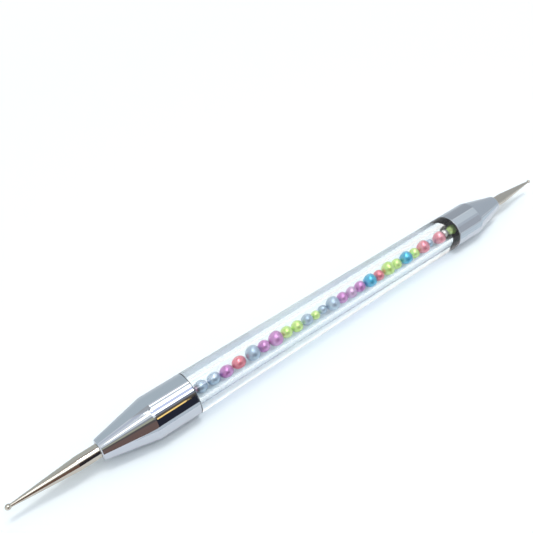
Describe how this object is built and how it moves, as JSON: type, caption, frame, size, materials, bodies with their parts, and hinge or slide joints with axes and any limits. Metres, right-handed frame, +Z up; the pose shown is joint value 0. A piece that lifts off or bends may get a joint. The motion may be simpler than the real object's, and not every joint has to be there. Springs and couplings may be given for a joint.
{
  "type": "embossing stylus",
  "caption": "Double-ended embossing stylus: a clear round handle holding a row of coloured pearls, chrome tapered ferrules and slim steel ball tips of two sizes.",
  "frame": {"origin": "on the table under mid-length, where the round handle would rest on it", "axes": "+X along the tool, from the large ball tip to the small one; +Z up"},
  "size_m": [0.136, 0.008, 0.008],
  "materials": {
    "clear_acrylic": "polished clear acrylic",
    "bright_chrome": "bright chrome plate",
    "tip_steel": "turned and polished steel, a little warm",
    "dark_cap": "matt black",
    "pearl_silver": "pearlescent silver blue",
    "pearl_violet": "pearlescent violet",
    "pearl_mauve": "pearlescent pale violet",
    "pearl_coral": "pearlescent coral",
    "pearl_pink": "pearlescent pink",
    "pearl_green": "pearlescent apple green",
    "pearl_blue": "pearlescent blue",
    "pearl_white": "pearlescent white"
  },
  "bodies": {
    "handle": {"barrel_tube": "clear_acrylic", "large_tip_end_cap": "dark_cap", "small_tip_end_cap": "dark_cap", "large_tip_ferrule": "bright_chrome", "small_tip_ferrule": "bright_chrome", "large_tip_shank": "tip_steel", "small_tip_shank": "tip_steel"},
    "pearl_row": {"pearl_01": "pearl_green", "pearl_02": "pearl_pink", "pearl_03": "pearl_silver", "pearl_04": "pearl_silver", "pearl_05": "pearl_violet", "pearl_06": "pearl_coral", "pearl_07": "pearl_silver", "pearl_08": "pearl_violet", "pearl_09": "pearl_violet", "pearl_10": "pearl_green", "pearl_11": "pearl_green", "pearl_12": "pearl_silver", "pearl_13": "pearl_green", "pearl_14": "pearl_silver", "pearl_15": "pearl_silver", "pearl_16": "pearl_violet", "pearl_17": "pearl_mauve", "pearl_18": "pearl_violet", "pearl_19": "pearl_blue", "pearl_20": "pearl_coral", "pearl_21": "pearl_green", "pearl_22": "pearl_green", "pearl_23": "pearl_blue", "pearl_24": "pearl_green", "pearl_25": "pearl_pink", "pearl_26": "pearl_silver", "pearl_27": "pearl_pink", "pearl_28": "pearl_white", "pearl_29": "pearl_green", "pearl_30": "pearl_violet"}
  },
  "joints": [
    {"name": "pearl_row_slide", "type": "slide", "parent": "handle", "child": "pearl_row", "axis": [1, 0, 0], "range_m": [-0.00045, 0.00028]}
  ]
}
